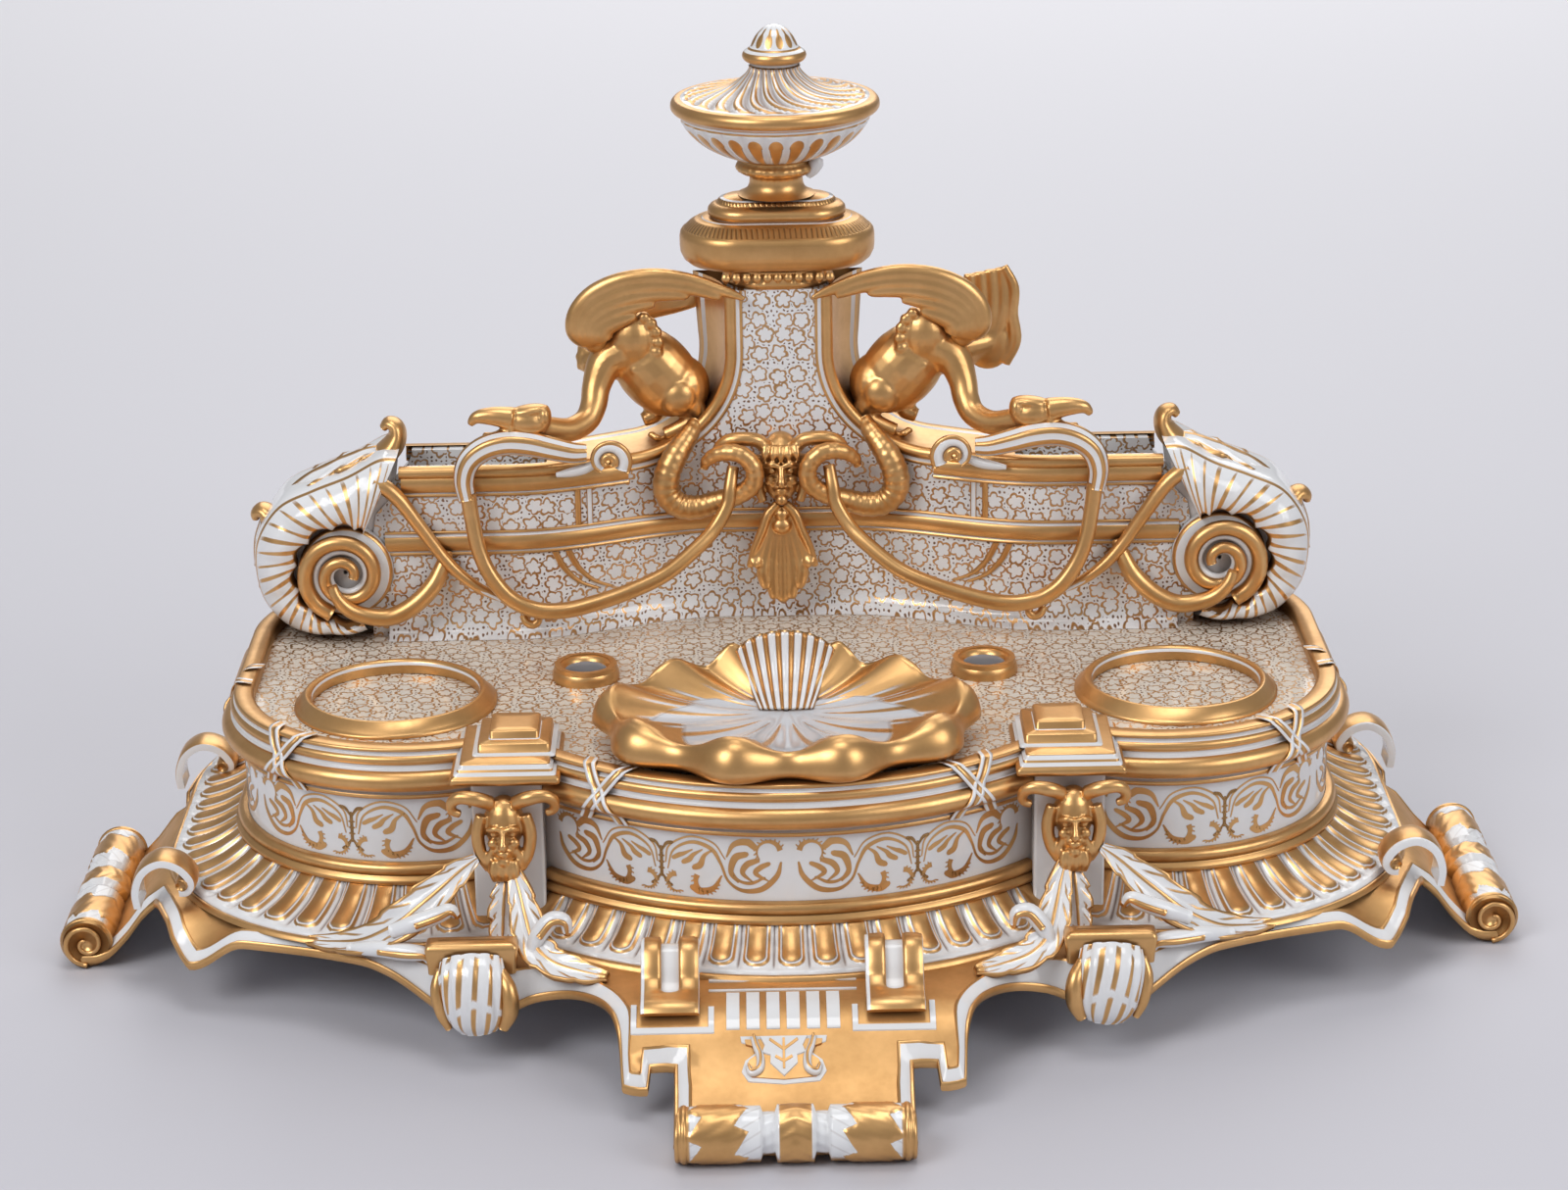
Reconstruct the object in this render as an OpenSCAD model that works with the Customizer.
// Desk inkstand in gilt porcelain: a lobed tray on a fluted base with four scrolled feet,
// a letter rack along the back, two winged beasts and a centre pedestal with a lift-off finial.
// Millimetres. X runs along the front, Y towards the back, Z up. The origin is on the table
// below the middle of the feet. Pairs are modelled on the right and mirrored to the left.

/* [Plan] */
// Radius of the front lobe of the body
front_r = 77; // [74:0.5:79]
// How far the front lobe's centre lies behind the middle
front_y = 6; // [3:0.5:9]
// Radius of the rounded corners of the two side lobes
side_r = 41.5; // [39:0.5:43]
// Distance of the side lobes' centres from the middle
side_x = 85.5; // [84:0.5:88]
// Place of the side lobes' front centres
side_front_y = -4; // [-7:0.5:-2]
// Place of the side lobes' rear centres
side_back_y = 32; // [31.5:0.5:35]

/* [Heights] */
// Height of the underside of the base plate above the table
plate_z = 14; // [12:0.5:16]
// Thickness of the base plate
plate_h = 6; // [4:0.5:8]
// Height of the fluted apron
apron_h = 8.5; // [7:0.5:10]
// Height of the half-round moulding above the apron
torus_h = 4.5; // [4:0.5:5.5]
// Height of the painted band of the body
band_h = 15.5; // [14:0.5:18]
// Height of the cornice
cornice_h = 12.5; // [12:0.5:14]
// Depth of the tray floor below the cornice's rim
rim_drop = 3; // [2:0.5:4]

/* [Base] */
// How far the base plate stands out beyond the front lobe
plate_front_out = 16; // [15:0.5:18]
// How far the base plate stands out beyond the side lobes
plate_side_out = 21; // [20:0.5:22]
// How far the flutes spread beyond the front lobe
apron_front_out = 13; // [11:0.5:14.5]
// How far the flutes spread beyond the side lobes
apron_side_out = 18; // [17:0.5:18.5]
// Height of the apron's upright outer edge
apron_edge = 2.5; // [1.5:0.5:3]
// Wall thickness of the body
wall_t = 5; // [4:0.5:7]
// Thickness of the tray
tray_t = 4; // [3:0.5:5]
// How far the cornice stands out beyond the body
cornice_out = 5; // [4.5:0.5:6]
// Width of the cornice's rim over the tray
rim_w = 3; // [2:0.5:4]

/* [Feet] */
// How far the tips of the front and rear feet stand beyond the base plate's front edge
foot_reach = 48; // [46:0.5:52]
// Length of a side foot from its tip to its root at the flutes
side_foot_root = 25; // [25:0.5:28]
// Length of the front and rear feet from tip to root
foot_root = 40; // [38:0.5:42]
// Width of the front and rear feet
foot_w = 51; // [46:0.5:54]
// Width of the side feet
side_foot_w = 58; // [52:0.5:62]
// Radius of the roll at the end of a foot
roll_r = 6.2; // [5.5:0.1:6.6]
// Thickness of a foot's strap
strap_t = 4; // [3:0.5:5]
// Width of the bracket that carries the front foot
bracket_w = 74; // [70:0.5:78]
// How far the hanging leaf clasps lie outside the corner blocks
clasp_aside = 8.5; // [7:0.5:10]
// How far the clasps' middles lie in front of the corner blocks
clasp_out = 16; // [15:0.5:18]
// Radius of a clasp
clasp_r = 10; // [9:0.5:11]

/* [Tray fittings] */
// Distance of the inkwell seats from the middle
well_x = 90.6; // [89:0.1:92]
// Place of the inkwell seats
well_y = -10.6; // [-12:0.1:-9]
// Inner radius of an inkwell seat
well_r = 18.5; // [17:0.5:19.5]
// Outer radius of an inkwell seat
well_out_r = 23.5; // [22.5:0.5:24.5]
// Height of an inkwell seat's ring above the tray
well_h = 3.6; // [3:0.1:5]
// Distance of the pen holes from the middle
pen_x = 47; // [46:0.5:48]
// Place of the pen holes
pen_y = 4.3; // [2:0.1:6]
// Radius of a pen hole
pen_r = 6; // [5:0.1:6.4]
// Outer radius of a pen hole's collar
pen_out_r = 7.9; // [7.7:0.1:8.6]
// Height of a pen hole's collar above the tray
pen_h = 3.6; // [2.5:0.1:5]
// Depth of a pen hole below the tray
pen_depth = 24; // [18:0.5:28]

/* [Shell dish] */
// Half the width of the shell dish
dish_rx = 42; // [38:0.5:43]
// Place of the dish's middle
dish_y = -41; // [-42:0.5:-40]
// Depth of the dish from front to back, as a share of its width
dish_squash = 0.77; // [0.74:0.01:0.78]
// Height of the dish's rim above the tray
dish_h = 7; // [7:0.5:9]
// Height of the fan above the tray
fan_h = 18.5; // [16:0.5:20]

/* [Corner blocks] */
// Distance of the corner blocks from the middle
block_x = 62.5; // [61.5:0.5:63.5]
// How far the corner blocks stand out in front of the front lobe's face
block_out = 17; // [16:0.5:18]
// Width of a corner block's shaft
block_w = 17; // [15:0.5:18]

/* [Letter rack] */
// Place of the rack's front wall at its two swells
rack_y = 36; // [35:0.5:38]
// How far the front wall draws back at the middle
rack_bow = 14; // [12:0.5:15]
// Depth of the rack from outer face to outer face
rack_d = 20; // [19:0.5:21.5]
// Thickness of the rack's walls
rack_t = 3.6; // [3:0.1:4.5]
// Height of the rack's walls above the tray
rack_h = 42; // [40:0.5:45]
// Distance from the middle to a rack's end
rack_x = 100; // [99:0.5:102]
// Distance of the volutes' centres from the middle
volute_x = 105.8; // [105:0.1:107]
// Height of the volutes' centres above the tray
volute_h = 17.2; // [16:0.1:18]
// Radius of the volutes
volute_r = 11.5; // [10.5:0.5:12]

/* [Pedestal] */
// Half the width of the pedestal
ped_x = 12.5; // [11.5:0.5:13.5]
// Height of the pedestal's top above the tray
ped_h = 81.5; // [78:0.5:86]
// Radius of the sweep from the rack's walls up to the pedestal
sweep_r = 24; // [21:0.5:26]
// Half the width of the capital's cushion
cap_rx = 23.6; // [21:0.1:25]
// Half the depth of the capital's cushion
cap_ry = 14.5; // [13:0.1:16]
// Height of the capital's cushion
cap_h = 11.5; // [10:0.5:13]
// Radius of the round seat in the capital
seat_r = 7; // [6:0.5:7.5]
// Depth of the round seat in the capital
seat_depth = 8; // [7:0.5:9]

/* [Finial] */
// Half the width of the cover's lower step
cover_rx = 16.7; // [15.5:0.1:18]
// Half the depth of the cover's lower step
cover_ry = 9.2; // [8.8:0.1:10]
// Height of the cover
cover_h = 5.5; // [4:0.5:7]
// Gap all round between the cover's spigot and its seat
lift_gap = 0.4; // [0.3:0.05:0.6]
// Length of the cover's spigot
spigot_h = 6; // [5:0.5:6.5]
// Height of the stem
stem_h = 9; // [8:0.5:11]
// Radius of the bowl
bowl_r = 23; // [22:0.1:23.8]
// Height of the bowl
bowl_h = 10.5; // [9:0.5:12]
// Radius of the bowl's lid
lid_r = 25.2; // [24:0.1:26]
// Height of the lid
lid_h = 11.5; // [10:0.5:13]
// Radius of the knob's collar
knob_r = 7.7; // [7:0.1:9]
// Height of the knob
knob_h = 10; // [9:0.5:12]

/* [Hidden] */

$fn = 96;
gold = [0.83, 0.62, 0.28];
white = [0.95, 0.95, 0.94];

plate_top = plate_z + plate_h;
torus_z = plate_top + apron_h;
band_z = torus_z + torus_h;
luting = 0.1;                           // seam between the body and the mouldings on it
cornice_z = band_z + band_h;
rim_z = cornice_z + cornice_h;
tray_z = rim_z - rim_drop;              // top of the tray floor
wall_top = tray_z - tray_t;
pen_tube_r = pen_r + 1.3;
fan_start = 13;                         // where the fan begins behind the dish's middle
fan_room = 22;                          // half the width cut out of the dish for it
back_y = side_back_y + side_r;          // rear face of the body
rack_top = tray_z + rack_h;
block_y = sqrt(front_r * front_r - block_x * block_x) - front_y + block_out;
block_d = 24;                           // depth of a corner block's shaft
clasp_x = block_x + clasp_aside;
clasp_y = block_y + clasp_out;
figure_z = rack_top - 42;               // the figures keep their height from the rack's top
block_back = block_y - block_d;
rack_swell_x = 66;                      // where the front wall comes furthest forward
rack_flat_x = 14;                       // half the width of its straight middle
trough_x = 40;                          // where the pedestal's saddle gives way to the trough
ped_top = tray_z + ped_h;
ped_y = rack_y + rack_bow + rack_d / 2;
saddle_drop = 1.5;                      // how far the saddle lies inside the walls' edges
lower_band_h = 23.5;                    // heights of the rack's gilt bands above the tray
upper_band_h = 38.5;
band_w = 5;
band_t = 1.2;
neck_h = 4.5;
cap_z = ped_top + neck_h;
cap_top = cap_z + cap_h;
cover_top = cap_top + cover_h;
bowl_z = cover_top + stem_h;
lid_z = bowl_z + bowl_h;
knob_z = lid_z + lid_h;
volute_z = tray_z + volute_h;
foot_y = front_r - front_y + plate_front_out + foot_reach;
foot_x = side_x + side_r + apron_side_out + side_foot_root;
bracket_y = foot_y - 33;                // front edge of the bracket that carries the front foot

// ---- helpers ----

// Draws its children as they are on the right, or mirrored on the left
module sided(side) {
    mirror([side < 0 ? 1 : 0, 0, 0]) children();
}

// Body outline, grown by one amount at the front lobe and another at the sides and back
module plan(front_grow, side_grow) {
    reach = 2 * front_r;
    intersection() {
        translate([0, front_y]) circle(front_r + front_grow);
        translate([-reach, -reach]) square([2 * reach, reach + side_back_y]);
    }
    for (side = [-1, 1]) {
        for (y = [side_front_y, side_back_y])
            translate([side * side_x, y]) circle(side_r + side_grow);
        translate([side * side_x - side_r - side_grow, side_front_y])
            square([2 * (side_r + side_grow), side_back_y - side_front_y]);
    }
    translate([-side_x, side_front_y])
        square([2 * side_x, back_y + side_grow - side_front_y]);
}

module slab(z0, z1, front_grow, side_grow) {
    translate([0, 0, z0]) linear_extrude(z1 - z0) plan(front_grow, side_grow);
}

// Solid on the body outline whose sides slope straight from z0 to z1
module flare(z0, z1, front0, front1, side0, side1) {
    h = z1 - z0;
    reach = 2 * front_r;
    intersection() {
        translate([0, front_y, z0]) cylinder(h = h, r1 = front_r + front0, r2 = front_r + front1);
        translate([-reach, -reach, z0]) cube([2 * reach, reach + side_back_y, h]);
    }
    for (side = [-1, 1]) {
        for (y = [side_front_y, side_back_y])
            translate([side * side_x, y, z0])
                cylinder(h = h, r1 = side_r + side0, r2 = side_r + side1);
        sided(side) translate([side_x, side_back_y, z0]) rotate([90, 0, 0])
            linear_extrude(side_back_y - side_front_y)
                polygon([[0, 0], [side_r + side0, 0], [side_r + side1, h], [0, h]]);
    }
    translate([-side_x, 0, z0]) rotate([90, 0, 90]) linear_extrude(2 * side_x)
        polygon([[side_front_y, 0], [back_y + side0, 0], [back_y + side1, h], [side_front_y, h]]);
}

// Carries its 2D children round the body: x points out from the body's face, y is the height.
// It stops inside the corner blocks, where the lobes would cross.
module moulding() {
    reach = 2 * front_r;
    gap = 2;
    intersection() {
        translate([0, front_y, 0]) rotate_extrude() translate([front_r + luting, 0]) children();
        translate([gap - block_x, -reach, 0]) cube([2 * (block_x - gap), reach - block_back, reach]);
    }
    for (side = [-1, 1]) sided(side) {
        intersection() {
            translate([side_x, side_front_y, 0]) rotate_extrude() translate([side_r + luting, 0]) children();
            translate([block_x + gap, side_front_y - reach, 0]) cube(reach);
        }
        intersection() {
            translate([side_x, side_back_y, 0]) rotate_extrude() translate([side_r + luting, 0]) children();
            translate([side_x, side_back_y, 0]) cube(reach);
        }
        translate([side_x + side_r + luting, side_back_y, 0]) rotate([90, 0, 0])
            linear_extrude(side_back_y - side_front_y) children();
    }
    translate([-side_x, back_y + luting, 0]) rotate([90, 0, 90])
        linear_extrude(2 * side_x) children();
}

function unit(v) = v / norm(v);
function place(p) = [p[0], p[1], p[2]];
function spline_at(a, b, c, d, t) =
    0.5 * (2 * b + (c - a) * t + (2 * a - 5 * b + 4 * c - d) * t * t
        + (3 * b - a - 3 * c + d) * t * t * t);
function spline(p, steps) = concat(
    [for (i = [0:len(p) - 2]) for (j = [0:steps - 1])
        spline_at(p[max(i - 1, 0)], p[i], p[i + 1], p[min(i + 2, len(p) - 1)], j / steps)],
    [p[len(p) - 1]]);
function ring(p, i, up, sides) =
    let (t = unit(place(p[min(i + 1, len(p) - 1)]) - place(p[max(i - 1, 0)])),
        a = unit(cross(t, up)), b = cross(a, t))
    [for (k = [0:sides - 1])
        place(p[i]) + a * p[i][3] * cos(360 * k / sides) + b * p[i][4] * sin(360 * k / sides)];

// Smooth limb through points [x, y, z, half width, half thickness]; thickness lies along up
module limb(points, steps = 3, sides = 8, up = [0, 1, 0]) {
    p = spline(points, steps);
    n = len(p);
    last = (n - 1) * sides;
    polyhedron(
        [for (i = [0:n - 1]) each ring(p, i, up, sides)],
        concat(
            [for (k = [1:sides - 2]) [0, k + 1, k]],
            [for (k = [1:sides - 2]) [last, last + k, last + k + 1]],
            [for (i = [0:n - 2]) for (k = [0:sides - 1]) let (m = (k + 1) % sides)
                [i * sides + k, i * sides + m, (i + 1) * sides + m]],
            [for (i = [0:n - 2]) for (k = [0:sides - 1]) let (m = (k + 1) % sides)
                [i * sides + k, (i + 1) * sides + m, (i + 1) * sides + k]]));
}

// ---- feet and base plate ----

// A foot seen from its side: x runs from the tip towards the middle of the inkstand
module foot_profile(root) {
    low_x = 9;
    run = root - low_x;
    rise = plate_top - strap_t;
    r = (run * run + rise * rise) / (2 * rise);
    intersection() {
        translate([low_x, strap_t + r]) difference() {
            circle(r + strap_t);
            circle(r);
        }
        translate([low_x, 0]) square([run, plate_top]);
    }
    translate([roll_r, 0]) square([low_x - roll_r, strap_t]);
    translate([roll_r, roll_r]) circle(roll_r, $fn = 48);
}

module foot(reach, w, root) {
    translate([-w / 2, -reach, 0]) rotate([90, 0, 90]) linear_extrude(w) foot_profile(root);
}

module foot_space(reach, w, root) {
    translate([-w / 2, -reach - 1, -1]) cube([w, root + 1, plate_top + 2]);
}

module front_foot() color(gold) foot(foot_y, foot_w, foot_root);
module rear_foot() color(gold) rotate(180) foot(foot_y, foot_w, foot_root);
module left_foot() color(gold) rotate(-90) foot(foot_x, side_foot_w, side_foot_root);
module right_foot() color(gold) rotate(90) foot(foot_x, side_foot_w, side_foot_root);

module base_plate() {
    color(gold) difference() {
        union() {
            slab(plate_z, plate_top, plate_front_out, plate_side_out);
            for (side = [-1, 1]) for (end = [-1, 1])
                translate([side * clasp_x, end * clasp_y, plate_z])
                    cylinder(h = plate_h, r = clasp_r);
            translate([-bracket_w / 2, -bracket_y, plate_z])
                cube([bracket_w, 2 * bracket_y, plate_h]);
        }
        for (turn = [0, 180]) rotate(turn) foot_space(foot_y, foot_w, foot_root);
        for (turn = [-90, 90]) rotate(turn) foot_space(foot_x, side_foot_w, side_foot_root);
    }
}

// Stepped corners that hang below the plate beside the feet
module plate_corners() {
    w = 11;
    drop = 9;
    module corner(x, y) {
        translate([x - w / 2, y - w / 2, plate_z - drop]) cube([w, w, drop]);
    }
    color(gold) for (side = [-1, 1]) for (end = [-1, 1]) {
        corner(side * (bracket_w - w) / 2, end * (bracket_y - w / 2));
        corner(side * (side_x + side_r + 4), end * (side_foot_w / 2 + 16));
    }
}

// Flat strap buckle with a U-shaped slot, lying on the bracket beside the foot
module buckle(l) {
    w = 18;
    slot_w = 5;
    slot_l = 0.55 * l;
    h = 3;
    translate([0, 0, plate_top]) difference() {
        translate([-w / 2, 0, 0]) cube([w, l, h]);
        translate([-slot_w / 2, -1, -1]) cube([slot_w, slot_l, h + 2]);
    }
}

module foot_straps(turn, l) {
    rotate(turn) for (side = [-1, 1])
        translate([side * (foot_w / 2 + 1), -bracket_y, 0]) buckle(l);
}

module front_straps() color(gold) foot_straps(0, 18);
module rear_straps() color(gold) foot_straps(180, bracket_y - back_y - apron_side_out - 0.5);

// Two rolled straps that rise from the plate beside a side foot and curl over the flutes
module side_straps(side) {
    bend_r = 6;
    tube_r = 1.1;
    y = side_foot_w / 2 + 4;
    // How far the plate reaches beyond the side lobe's centre at a given y
    function plate_reach(y) = sqrt(pow(side_r + plate_side_out, 2)
        - pow(max(0, side_front_y - y, y - side_back_y), 2));
    sided(side) for (end = [-1, 1])
        translate([side_x + plate_reach(end * y) - tube_r - 0.2 - bend_r, end * y, plate_top])
            rotate([90, 0, 0]) intersection() {
                rotate_extrude() translate([bend_r, 0]) circle(tube_r, $fn = 24);
                translate([0, 0, -tube_r]) cube([2 * bend_r, 2 * bend_r, 2 * tube_r]);
            }
}

module left_straps() color(white) side_straps(-1);
module right_straps() color(white) side_straps(1);

// Leaf clasps that hang below the plate's edge
module leaf_clasps() {
    drop = 8;
    color(white) for (side = [-1, 1]) for (end = [-1, 1])
        translate([side * clasp_x, end * clasp_y, plate_z - drop])
            cylinder(h = drop, r1 = clasp_r - 5, r2 = clasp_r);
}

// ---- body ----

// Room that the corner blocks take out of the mouldings: a shaft below stepped tiers, each
// given as [width, shift towards the middle, front, back, bottom, top]
module block_form() {
    tiers = [[24, 0, 4, -block_d, -4.5, -1], [20, 0, 0, -block_d, -1, 0.5], [16, 2, -3, -17, 0.5, 3],
        [11, 3, -6, -15, 3, 5]];
    for (side = [-1, 1]) sided(side) {
        translate([block_x - block_w / 2, -block_y, plate_top])
            cube([block_w, block_d, rim_z - 4.5 - plate_top]);
        for (tier = tiers)
            translate([block_x - tier[1] - tier[0] / 2, -block_y - tier[2], rim_z + tier[4]])
                cube([tier[0], tier[2] - tier[3], tier[5] - tier[4]]);
    }
}

module corner_block(side) {
    color(white) intersection() {
        difference() {
            block_form();
            slab(plate_top - 1, tray_z, 0, 0);
        }
        sided(side) translate([0, -2 * block_y, 0]) cube(2 * block_y);
    }
}

module left_block() corner_block(-1);
module right_block() corner_block(1);

module fluted_apron() {
    color(gold) difference() {
        union() {
            slab(plate_top, plate_top + apron_edge, apron_front_out, apron_side_out);
            flare(plate_top + apron_edge, torus_z, apron_front_out, 3, apron_side_out, 3);
        }
        slab(plate_top - 1, torus_z + 1, 0, 0);
        block_form();
    }
}

module base_torus() {
    r = torus_h / 2;
    color(gold) difference() {
        moulding() intersection() {
            translate([0, torus_z + r]) circle(r, $fn = 32);
            translate([0, torus_z]) square([r, torus_h]);
        }
        block_form();
    }
}

module body_wall() {
    color(white) difference() {
        slab(plate_top, wall_top, 0, 0);
        slab(plate_top - 1, wall_top + 1, -wall_t, -wall_t);
    }
}

// Reeded cornice: a fillet, a broad reed, a narrow reed and the rim that laps over the tray
module cornice() {
    fillet_h = 3.2;
    fillet_out = 2;
    reed_r = 2.4;
    top_reed_r = 1.4;
    reed_out = cornice_out - reed_r;
    top_reed_out = reed_out - 1;
    reed_z = fillet_h + reed_r;
    top_reed_z = reed_z + reed_r + top_reed_r;
    color(gold) difference() {
        moulding() translate([0, cornice_z]) {
            square([fillet_out, fillet_h]);
            translate([0, fillet_h]) square([reed_out, 2 * reed_r]);
            translate([reed_out, reed_z]) circle(reed_r, $fn = 32);
            translate([0, top_reed_z - top_reed_r]) square([top_reed_out, 2 * top_reed_r]);
            translate([top_reed_out, top_reed_z]) circle(top_reed_r, $fn = 32);
            translate([0, top_reed_z]) square([top_reed_out, cornice_h - top_reed_z]);
            translate([-rim_w, cornice_h - rim_drop]) square([rim_w + top_reed_out, rim_drop]);
        }
        block_form();
    }
}

// Crossed ribbons round the cornice, at two angles on the front lobe and one on each side lobe
module ribbon_ties() {
    tie_t = 1.2;
    module tie(r, angle) {
        rotate(angle - 180 / r) rotate_extrude(angle = 360 / r)
            translate([r + cornice_out - 0.4, 0]) square([tie_t, 3]);
    }
    color(white) for (side = [-1, 1]) sided(side) {
        translate([0, front_y, cornice_z + 4.3]) tie(front_r, -59);
        translate([side_x, side_front_y, cornice_z + 4.3]) tie(side_r, -50);
    }
}

module tray() {
    color(white) difference() {
        slab(wall_top, tray_z, 0, 0);
        for (side = [-1, 1]) translate([side * pen_x, pen_y, wall_top - 1])
            cylinder(h = tray_t + 2, r = pen_tube_r);
    }
}

// ---- tray fittings ----

module well_ring(side) {
    color(gold) translate([side * well_x, well_y, tray_z]) difference() {
        cylinder(h = well_h, r1 = well_out_r, r2 = well_out_r - 3);
        translate([0, 0, -1]) cylinder(h = well_h + 2, r = well_r);
    }
}

module left_well_ring() well_ring(-1);
module right_well_ring() well_ring(1);

module pen_socket(side) {
    floor_t = 2;
    color(gold) translate([side * pen_x, pen_y, tray_z]) difference() {
        union() {
            cylinder(h = pen_h, r1 = pen_out_r, r2 = pen_out_r - 0.6);
            translate([0, 0, -pen_depth - floor_t]) cylinder(h = pen_depth + floor_t + 1, r = pen_tube_r);
        }
        translate([0, 0, -pen_depth]) cylinder(h = pen_depth + pen_h + 1, r = pen_r);
    }
}

module left_pen_socket() pen_socket(-1);
module right_pen_socket() pen_socket(1);

module shell_dish() {
    foot_r = dish_rx * 0.42;
    rim_t = 3;
    color(gold) difference() {
        translate([0, dish_y, tray_z]) scale([1, dish_squash, 1]) rotate_extrude($fn = 40)
            polygon([[0, 0], [foot_r, 0], [dish_rx - 6, dish_h - 3.5], [dish_rx, dish_h - 1.5],
                [dish_rx - 1, dish_h], [dish_rx - 8, dish_h - 1], [foot_r, rim_t], [0, rim_t]]);
        translate([-fan_room, dish_y + fan_start, tray_z - 1]) cube([2 * fan_room, dish_rx, dish_rx]);
    }
}

// Seven ribs that fan out and rise from the back of the dish
module shell_fan() {
    ribs = 7;
    y = dish_y + fan_start;
    color(white) for (i = [0:ribs - 1]) let (a = (i - (ribs - 1) / 2) * 12)
        limb([[13 * sin(a), y + 2.6, tray_z + 2.8, 2.3, 2.6],
            [21 * sin(a), y + 8, tray_z + 4.5, 3, 3.2],
            [29 * sin(a), y + 12.5, tray_z + 9, 3.4, 2.8],
            [31 * sin(a), y + 14 * cos(a), tray_z + fan_h - 7 + 5 * cos(2 * a), 2.2, 1.8]],
            steps = 2, sides = 6, up = [0, -0.5, 1]);
}

// ---- masks on the corner blocks ----

module corner_mask(side) {
    x = block_x;
    y = -block_y;
    z = rim_z - 5;
    color(gold) sided(side) difference() {
        union() {
            limb([[x, y - 2, z, 4, 3], [x, y - 3.5, z - 4, 6.4, 5], [x, y - 4, z - 10, 6, 5.5],
                [x, y - 3.5, z - 16, 4.2, 4], [x, y - 3, z - 20, 2, 2]], sides = 10);
            for (h = [-1, 1])
                limb([[x + 3 * h, y - 4, z - 1, 2, 2], [x + 7 * h, y - 5, z + 0.5, 2, 2],
                    [x + 10.5 * h, y - 4.5, z - 2, 1.7, 1.7], [x + 9.5 * h, y - 3.5, z - 6, 1, 1]],
                    steps = 2);
        }
        block_form();
    }
}

module left_mask() corner_mask(-1);
module right_mask() corner_mask(1);

// One leaf that hangs from the mask and two that sweep along the plate's edge
module mask_leaves(side) {
    x = block_x;
    y = -block_y;
    z = plate_top;
    top = rim_z - 26;
    color(white) sided(side) difference() {
        union() {
            limb([[x, y - 4, top, 2, 1.6], [x - 0.5, y - 6, z + 9, 3, 1.6],
                [x - 1, y - 7.5, z + 4, 2.8, 1.6], [x - 1, y - 8.5, z + 0.8, 1.4, 1]], steps = 2);
            limb([[x + 2.5, y - 5, top, 2, 1.6], [x + 7, y - 7, z + 8, 3, 1.7],
                [x + 16, y - 7.5, z + 3.6, 3, 1.7], [x + 28, y - 7, z + 2, 2.6, 1.5],
                [x + 38, y - 4.5, z + 1.6, 1.4, 1]], steps = 2);
            limb([[x - 2.5, y - 5, top, 2, 1.6], [x - 8, y - 11, z + 8, 3, 1.7],
                [x - 15, y - 18, z + 3.6, 3, 1.7], [x - 21, y - 23.5, z + 2, 2.6, 1.5],
                [x - 26, y - 26.8, z + 1.6, 1.4, 1]], steps = 2);
        }
        fluted_apron();
        corner_mask(1);
        translate([0, -2 * front_r, plate_z]) cube([2 * front_r, 4 * front_r, plate_h]);
    }
}

module left_mask_leaves() mask_leaves(-1);
module right_mask_leaves() mask_leaves(1);

// ---- letter rack ----

// How far the rack's front lies behind its swells at a distance x from the middle
function bow(x) =
    let (u = min(1, max(0, (abs(x) - rack_flat_x) / (rack_swell_x - rack_flat_x))))
    rack_bow * (1 + cos(180 * u)) / 2;
function bow_line(end_x, y) = [for (x = concat([-end_x],
    [for (i = [-24:24]) if (abs(5 * i) < end_x) 5 * i], [end_x])) [x, rack_y + bow(x) + y]];
function backwards(p) = [for (i = [len(p) - 1:-1:0]) p[i]];

// Upright strip that follows the rack's bow between two depths
module bow_strip(y0, y1, end_x, z0 = tray_z, z1 = ped_top) {
    translate([0, 0, z0]) linear_extrude(z1 - z0)
        polygon(concat(bow_line(end_x, y0), backwards(bow_line(end_x, y1))));
}

// The rack and pedestal seen from the front, drawn in by a small amount
module rack_outline(inset) {
    reach = 2 * rack_x;
    translate([0, reach, tray_z]) rotate([90, 0, 0]) linear_extrude(2 * reach) {
        translate([-reach, 0]) square([2 * reach, rack_h - inset]);
        difference() {
            translate([-ped_x - sweep_r, 0]) square([2 * (ped_x + sweep_r), ped_h]);
            for (side = [-1, 1]) {
                translate([side * (ped_x + sweep_r), rack_h + sweep_r]) circle(sweep_r + inset);
                translate([side * (ped_x + sweep_r) - sweep_r - inset, rack_h + sweep_r])
                    square([2 * (sweep_r + inset), ped_h]);
            }
        }
    }
}

// Scroll at a rack's end, seen from the front
module end_outline() {
    outline = spline([[103, 1], [112, 0], [119, 2], [126, 9], [128, 19], [126.5, 28], [119, 35],
        [110, 39.5], [101, 43.5], [94, 46.5], [90.5, 44.5], [91, 39], [98, 31]], 3);
    translate([0, rack_y - 1.5 + rack_d + 3, tray_z]) rotate([90, 0, 0])
        linear_extrude(rack_d + 3)
            polygon([for (p = outline) [p[0] - 105.8 + volute_x, p[1] * rack_h / 42]]);
}

module volute_form() {
    translate([volute_x, rack_y + rack_d + 2.5, volute_z]) rotate([90, 0, 0])
        cylinder(h = rack_d + 5, r = volute_r);
}

module rack_wall(y0) {
    color(white) difference() {
        intersection() {
            bow_strip(y0, y0 + rack_t, rack_x);
            rack_outline(0);
        }
        for (side = [-1, 1]) sided(side) {
            end_outline();
            volute_form();
        }
    }
}

module rack_front_wall() rack_wall(0);
module rack_back_wall() rack_wall(rack_d - rack_t);

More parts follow.
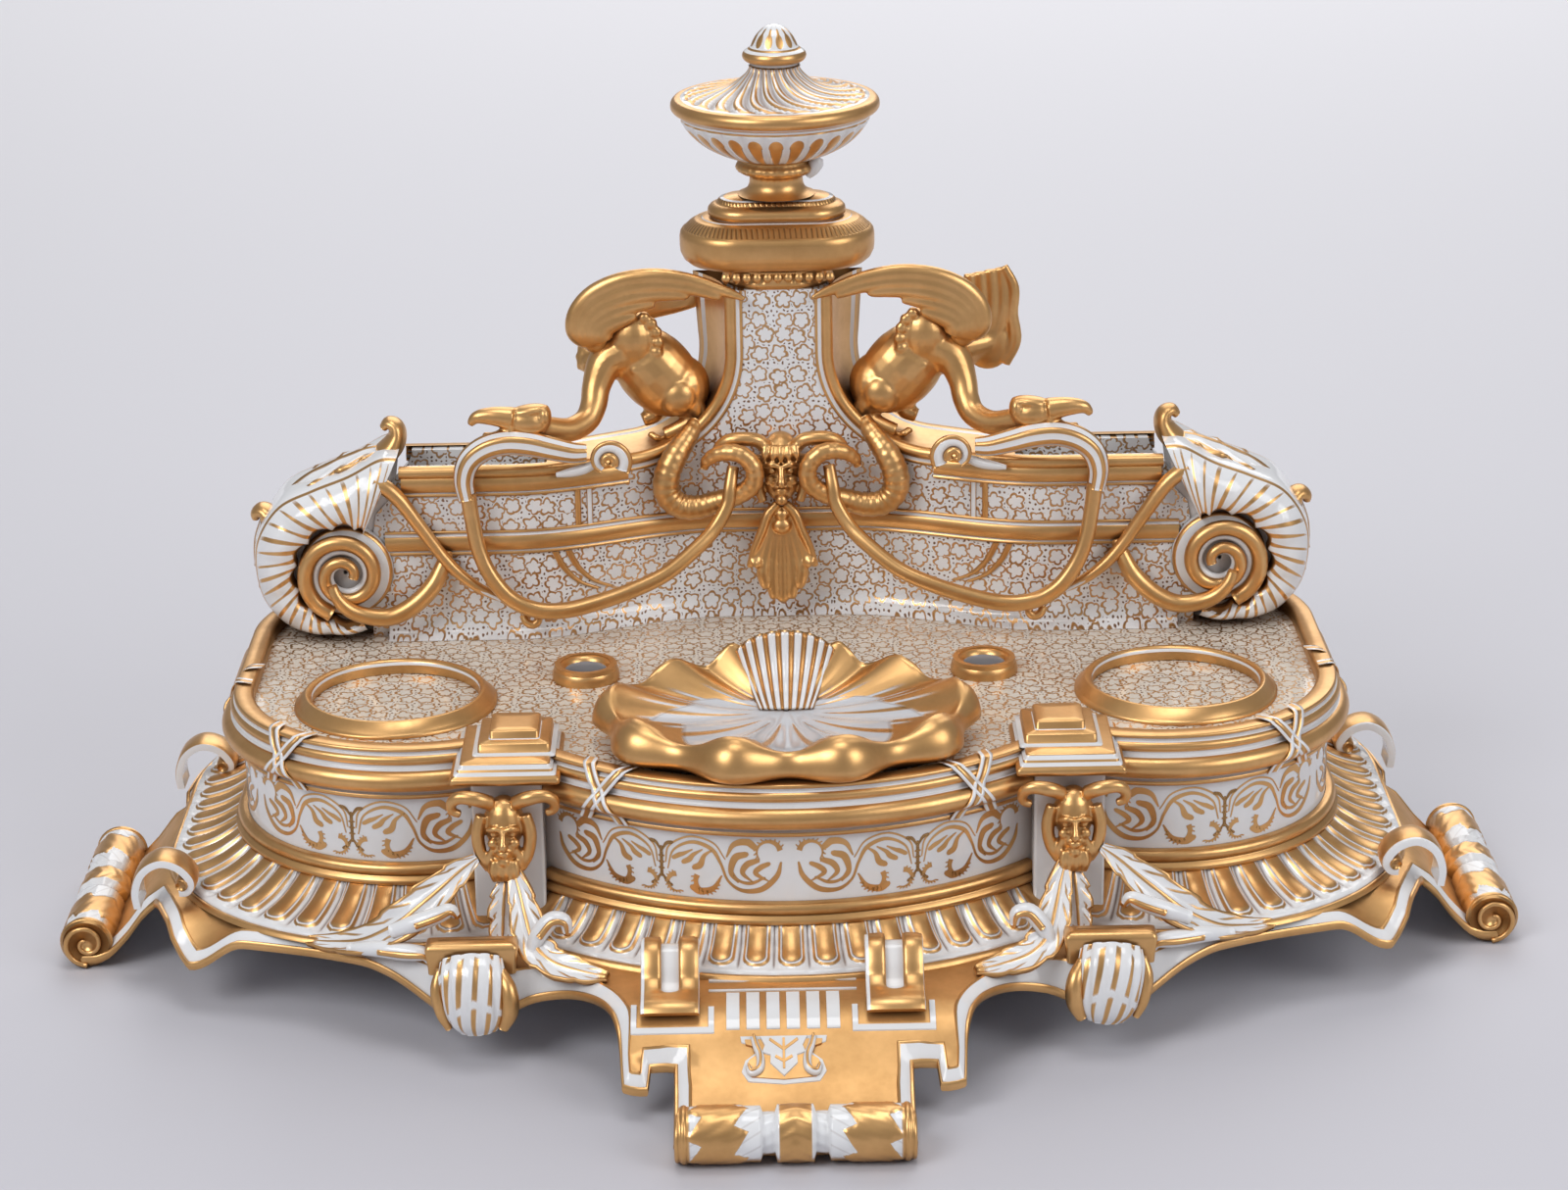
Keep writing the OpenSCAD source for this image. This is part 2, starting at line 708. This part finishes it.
// Gilt band along the outer faces of both walls, from a distance x to the rack's ends
module band(h, start_x, end_x) {
    color(gold) difference() {
        union() {
            bow_strip(-band_t, 0, end_x, tray_z + h - band_w / 2, tray_z + h + band_w / 2);
            bow_strip(rack_d, rack_d + band_t, end_x, tray_z + h - band_w / 2, tray_z + h + band_w / 2);
        }
        translate([-start_x, 0, tray_z]) cube([2 * start_x, 3 * rack_y, rack_h]);
        for (side = [-1, 1]) sided(side) {
            end_outline();
            volute_form();
        }
    }
}

module lower_band() band(lower_band_h, 9, rack_x - 1);
module upper_band() band(upper_band_h, ped_x + sweep_r, rack_x - 9);

module volute(side) {
    y = rack_y - 4;
    color(gold) sided(side) {
        volute_form();
        translate([volute_x - 105.8, 0, volute_z]) limb([[106.3, y + 2.5, -2, 1.6, 1.6],
            [101.2, y, -7.2, 2, 2], [96, y - 0.5, -9.6, 2.2, 2.2], [91, y - 0.5, -9.2, 2.4, 2.4],
            [85.6, y, -5, 2.2, 2.2], [81, y + 0.5, 2.5, 1.6, 1.6]]);
    }
}

module left_volute() volute(-1);
module right_volute() volute(1);

// Leaf cap round the scroll, with its two rolled tips
module acanthus(side) {
    mid_y = rack_y + rack_d / 2;
    module tip(x, h, r, l) {
        translate([volute_x - 105.8 + x, mid_y + l / 2, tray_z + h]) rotate([90, 0, 0])
            cylinder(h = l, r = r, $fn = 32);
    }
    color(white) sided(side) difference() {
        union() {
            end_outline();
            tip(91.5, 46, 3, 14);
            tip(126, 29, 3, 16);
        }
        volute_form();
        cornice();
    }
}

module left_acanthus() acanthus(-1);
module right_acanthus() acanthus(1);

// Stem that leaves the leaf cap and dives under the hoop
module branch(side) {
    y = rack_y - 3.4;
    z = figure_z;
    color(gold) sided(side) difference() {
        limb([[92, y, z + 36.5, 1.8, 1.8], [88.9, y, z + 32.9, 1.8, 1.8], [84.9, y, z + 28.6, 1.8, 1.8],
            [82, y, z + 23, 1.8, 1.8], [77.6, y - 0.4, z + 16.9, 1.8, 1.8],
            [72.7, y - 0.6, z + 13.1, 1.6, 1.6], [67.5, y - 0.6, z + 11, 1.3, 1.3]]);
        end_outline();
    }
}

module left_branch() branch(-1);
module right_branch() branch(1);

// ---- pedestal ----

module pedestal_core() {
    color(gold) intersection() {
        bow_strip(rack_t, rack_d - rack_t, trough_x);
        rack_outline(saddle_drop);
    }
}

module stadium(rx, ry) {
    for (side = [-1, 1]) translate([side * (rx - ry), 0]) circle(ry);
    translate([-(rx - ry), -ry]) square([2 * (rx - ry), 2 * ry]);
}

module capital_neck() {
    color(gold) translate([0, ped_y, ped_top]) linear_extrude(neck_h)
        stadium(ped_x - 0.5, rack_d / 2 - 0.5);
}

// Oval cushion with a round seat for the finial
module capital() {
    soft_r = 4.5;
    module half_section() {
        translate([0, 0]) square([cap_ry - soft_r, cap_h]);
        translate([0, soft_r]) square([cap_ry, cap_h - 2 * soft_r]);
        for (h = [soft_r, cap_h - soft_r]) translate([cap_ry - soft_r, h]) circle(soft_r, $fn = 48);
    }
    color(gold) translate([0, ped_y, cap_z]) difference() {
        union() {
            for (side = [-1, 1]) translate([side * (cap_rx - cap_ry), 0, 0])
                rotate_extrude() half_section();
            translate([-(cap_rx - cap_ry), 0, 0]) rotate([90, 0, 90])
                linear_extrude(2 * (cap_rx - cap_ry)) {
                    half_section();
                    mirror([1, 0]) half_section();
                }
        }
        translate([0, 0, cap_h - seat_depth]) cylinder(h = seat_depth + 1, r = seat_r);
    }
}

// ---- lift-off finial ----

module finial_cover() {
    step_h = cover_h - 2;
    step_in = 2.4;
    color(gold) translate([0, ped_y, cap_top]) {
        linear_extrude(step_h) stadium(cover_rx, cover_ry);
        linear_extrude(cover_h) stadium(cover_rx - step_in, cover_ry - step_in);
        translate([0, 0, -spigot_h]) cylinder(h = spigot_h + 1, r = seat_r - lift_gap);
    }
}

module turned(z, section) {
    translate([0, ped_y, z]) rotate_extrude() polygon(section);
}

module urn_stem() {
    neck = cover_ry - 2.8;
    collar = 10.2;
    color(gold) turned(cover_top, [[0, 0], [neck + 0.2, 0], [neck, 2.5], [neck, stem_h - 4.5],
        [collar - 1, stem_h - 3.5], [collar, stem_h - 2.3], [collar - 0.8, stem_h - 0.8],
        [collar - 1.2, stem_h], [0, stem_h]]);
}

module urn_bowl() {
    color(white) turned(bowl_z, [[0, 0], [9, 0], [0.62 * bowl_r, 0.18 * bowl_h],
        [0.82 * bowl_r, 0.45 * bowl_h], [0.95 * bowl_r, 0.75 * bowl_h], [bowl_r, bowl_h], [0, bowl_h]]);
}

module urn_lid() {
    color(white) turned(lid_z, [[0, 0], [lid_r - 1.6, 0], [lid_r - 0.5, 0.9], [lid_r, 2.3],
        [lid_r - 0.5, 3.6], [lid_r - 2.2, 4.6], [0.62 * lid_r, 5.8], [0.38 * lid_r, 7.6],
        [0.25 * lid_r, lid_h - 2], [0.22 * lid_r, lid_h - 0.6], [0.24 * lid_r, lid_h], [0, lid_h]]);
}

module urn_knob() {
    color(gold) turned(knob_z, [[0, 0], [knob_r - 2.1, 0], [knob_r - 0.8, 1.2], [knob_r, 2.8],
        [knob_r - 0.5, 4.2], [knob_r - 2, 5.2], [knob_r - 2.6, 6.8], [knob_r - 4, 8.8],
        [knob_r - 6, knob_h - 0.2], [0, knob_h]]);
}

// ---- winged beasts, tails and hoops ----

module griffin(side) {
    z = figure_z;
    y = ped_y;
    color(gold) sided(side) difference() {
        union() {
            limb([[20.5, y - 2, z + 50, 3, 3], [23, y - 2, z + 54, 6.4, 6], [29, y - 2.5, z + 58, 7.4, 7],
                [36, y - 4, z + 63.5, 7.6, 7.6], [42, y - 5, z + 66.5, 6.4, 7],
                [45.3, y - 7, z + 63, 4.6, 5], [46.8, y - 10, z + 56, 3.4, 3.6],
                [48.2, y - 14, z + 51, 3, 3.2], [52, y - 19, z + 49.5, 2.9, 3],
                [57, y - 23, z + 52, 2.8, 2.8], [62, y - 26, z + 54, 3.8, 3.2],
                [67, y - 27, z + 54.6, 2.8, 2.4], [73, y - 27.5, z + 56, 1.2, 1.2]], sides = 10);
            limb([[27, y - 6, z + 55, 4, 3.5], [25.5, y - 6.5, z + 49, 3.4, 3], [25, y - 6, z + 44, 2.2, 2.2],
                [27, y - 6, z + 42, 3, 2]], steps = 2);
            limb([[33, y - 1, z + 57, 4, 3.5], [31.5, y - 1, z + 49, 2.8, 2.6], [31, y - 2, z + 43, 2, 2],
                [33.5, y - 2, z + 40, 2.6, 2]], steps = 2);
        }
        rack_wall_space();
        intersection() {
            bow_strip(rack_t, rack_d - rack_t, trough_x);
            rack_outline(saddle_drop);
        }
    }
}

// Both walls of the rack near the pedestal
module rack_wall_space() {
    for (y = [0, rack_d - rack_t]) intersection() {
        bow_strip(y, y + rack_t, rack_swell_x);
        rack_outline(0);
    }
}

module left_griffin() griffin(-1);
module right_griffin() griffin(1);

// Near wing, swept back under the capital, and far wing behind it
module wings(side) {
    z = figure_z;
    y = ped_y;
    module near_wing() {
        limb([[46, y - 12.5, z + 67, 2.5, 1.6], [48.5, y - 12, z + 72, 4, 1.6],
            [45, y - 11, z + 77.5, 4.6, 1.5], [36, y - 10.5, z + 81, 4.4, 1.4],
            [24, y - 11.5, z + 82, 3.6, 1.3], [13, y - 13.5, z + 81.6, 2.4, 1.1],
            [7.5, y - 14.5, z + 80.2, 0.8, 0.7]], steps = 2);
    }
    color(gold) sided(side) {
        near_wing();
        if (side < 0)
            limb([[40, y + 1, z + 60, 3, 2], [47, y + 7, z + 61, 4, 1.7], [47, y + 11, z + 67, 4.4, 1.6],
                [38, y + 12.5, z + 72, 4.4, 1.5], [26, y + 13, z + 73.5, 3.4, 1.3],
                [14, y + 13.5, z + 74, 1.8, 1]], steps = 2);
        if (side > 0)
            limb([[41, y + 1, z + 62, 3, 2], [48, y + 4, z + 63, 6, 1.7], [54, y + 6, z + 70, 7, 1.6],
                [54.5, y + 6, z + 78, 5, 1.4], [51, y + 6, z + 83, 1.6, 0.9]], steps = 2, sides = 8);
    }
}

module left_wings() wings(-1);
module right_wings() wings(1);

// Ringed tail that comes down beside the pedestal and closes in a knot
module tail(side) {
    z = figure_z;
    y = rack_y + rack_bow;
    color(gold) sided(side) difference() {
        limb([[21, y + 1, z + 46, 2, 2], [24, y - 5, z + 43, 3, 3], [27.3, y - 6.5, z + 38, 3.2, 3.2],
            [27.4, y - 6.5, z + 33, 3.2, 3.2], [24, y - 6, z + 30, 3, 3], [18, y - 6, z + 30.2, 2.6, 2.6],
            [11.5, y - 7, z + 31.5, 2.2, 2.2], [7, y - 9, z + 34.5, 2, 2], [7.2, y - 9.5, z + 39, 2, 2],
            [11, y - 9, z + 42.5, 2, 2], [15.5, y - 7.5, z + 40.5, 1.8, 1.8]], steps = 2);
        rack_wall_space();
    }
}

module left_tail() tail(-1);
module right_tail() tail(1);

// Gilt hoop from the tail's knot along the front wall
module hoop(side) {
    z = figure_z;
    y = rack_y;
    r = 1.8;
    color(gold) sided(side)
        limb([[12.3, y + 6.5, z + 37.5, r, r], [13, y + 4.5, z + 29, r, r], [17.5, y, z + 22, r, r],
            [28, y - 5.5, z + 15, r, r], [42.4, y - 8, z + 11.2, r, r], [56.7, y - 8.5, z + 8.4, r, r],
            [66, y - 8, z + 12, r, r], [71.6, y - 6.5, z + 19.5, r, r], [74.2, y - 5, z + 28, r, r],
            [75.5, y - 4.2, z + 36, r, r]]);
}

module left_hoop() hoop(-1);
module right_hoop() hoop(1);

// Broad scroll that continues the hoop over the wall's top and ends in a rosette
module scroll(side) {
    z = figure_z;
    y = rack_y - 4.2;
    color(white) sided(side) {
        limb([[75.6, y, z + 37.2, 2, 2], [74.8, y, z + 43, 2.6, 2.2], [69.5, y, z + 47.5, 2.7, 2.4],
            [61, y, z + 48.6, 2.6, 2.4], [52, y, z + 46.5, 2.2, 2.2], [45, y, z + 44.6, 1.8, 1.8]]);
        translate([40.5, rack_y - band_t - 0.3, z + 43.5]) rotate([90, 0, 0])
            cylinder(h = 5, r1 = 5.4, r2 = 3.5, $fn = 32);
    }
}

module left_scroll() scroll(-1);
module right_scroll() scroll(1);

module centre_mask() {
    z = figure_z;
    y = rack_y + rack_bow;
    color(gold) difference() {
        union() {
            limb([[0, y - 2.5, z + 50, 3.4, 2.6], [0, y - 4, z + 45.5, 5.8, 4.4],
                [0, y - 4.5, z + 40, 6, 5], [0, y - 4.5, z + 34, 4.8, 4.5],
                [0, y - 3.5, z + 29.5, 2.6, 2.8]], sides = 10);
            for (h = [-1, 1])
                limb([[3 * h, y - 5, z + 47, 2, 2], [8.5 * h, y - 4.5, z + 49.5, 2.2, 2.2],
                    [13.5 * h, y - 4, z + 48, 2, 2], [15.6 * h, y - 3.4, z + 44.5, 1.4, 1.4]], steps = 2);
        }
        rack_wall_space();
    }
}

// Fluted shell that hangs from the mask like a beard
module mask_shell() {
    z = figure_z;
    y = rack_y + rack_bow;
    color(gold) difference() {
        limb([[0, y - 3.8, z + 30.5, 2, 2], [0, y - 4.2, z + 24, 6, 3], [0, y - 4.6, z + 17, 8.2, 3.2],
            [0, y - 4.8, z + 9, 6.8, 3], [0, y - 4, z + 3, 2.6, 1.8]], sides = 12);
        centre_mask();
        rack_wall_space();
    }
}

base_plate();
front_foot();
rear_foot();
left_foot();
right_foot();
front_straps();
rear_straps();
left_straps();
right_straps();
plate_corners();
leaf_clasps();
fluted_apron();
base_torus();
body_wall();
cornice();
ribbon_ties();
tray();
left_well_ring();
right_well_ring();
left_pen_socket();
right_pen_socket();
shell_dish();
shell_fan();
left_block();
right_block();
left_mask();
right_mask();
left_mask_leaves();
right_mask_leaves();
rack_front_wall();
rack_back_wall();
lower_band();
upper_band();
left_volute();
right_volute();
left_acanthus();
right_acanthus();
left_branch();
right_branch();
pedestal_core();
left_griffin();
right_griffin();
left_wings();
right_wings();
left_tail();
right_tail();
left_hoop();
right_hoop();
left_scroll();
right_scroll();
centre_mask();
mask_shell();
capital_neck();
capital();
finial_cover();
urn_stem();
urn_bowl();
urn_lid();
urn_knob();
